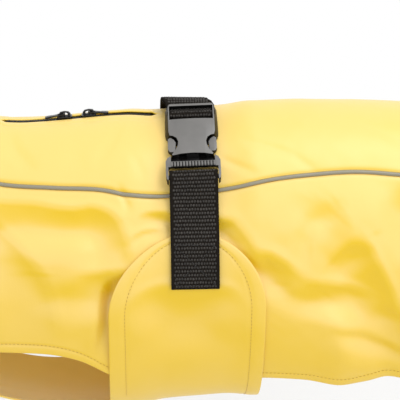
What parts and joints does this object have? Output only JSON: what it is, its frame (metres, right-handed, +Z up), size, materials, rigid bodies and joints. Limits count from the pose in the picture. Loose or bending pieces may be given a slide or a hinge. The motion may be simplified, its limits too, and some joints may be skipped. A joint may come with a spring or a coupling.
{
  "type": "dog raincoat",
  "caption": "Dog raincoat in worn shape: back and side panels, belly panel with wings, a webbing belt with a side-release buckle, and a zipped lead opening.",
  "frame": {"origin": "underside of the back panel at the middle of the belt, where the garment lies on the wearer's back", "axes": "-X toward the head, +X toward the tail, -Y toward the wearer's left side, +Z up"},
  "size_m": [0.6911, 0.209, 0.2883],
  "materials": {
    "coated_cloth": "matt coated",
    "reflective_piping": "reflective",
    "black_webbing": "woven ribs",
    "moulded_plastic": "satin moulded",
    "zip_cloth": "coated zip tape",
    "slider_metal": "gloss"
  },
  "bodies": {
    "garment": {"back_panel": "coated_cloth", "side_panel_left": "coated_cloth", "side_panel_right": "coated_cloth", "belly_panel": "coated_cloth", "piping_left": "reflective_piping", "piping_right": "reflective_piping", "zip_strip": "zip_cloth", "belt_over_back": "black_webbing", "left_strap": "black_webbing", "buckle_socket": "moulded_plastic", "buckle_plug": "moulded_plastic", "slider_front": "slider_metal", "slider_rear": "slider_metal"},
    "front_pull": {"pull_front": "slider_metal"},
    "rear_pull": {"pull_rear": "slider_metal"}
  },
  "joints": [
    {"name": "front_pull_hinge", "type": "hinge", "parent": "garment", "child": "front_pull", "pos_m": [-0.10779, 0, -0.00028], "axis": [0, 1, 0], "range_deg": [0, 110]},
    {"name": "rear_pull_hinge", "type": "hinge", "parent": "garment", "child": "rear_pull", "pos_m": [-0.08695, 0, 0.00129], "axis": [0, -1, 0], "range_deg": [0, 110]}
  ]
}
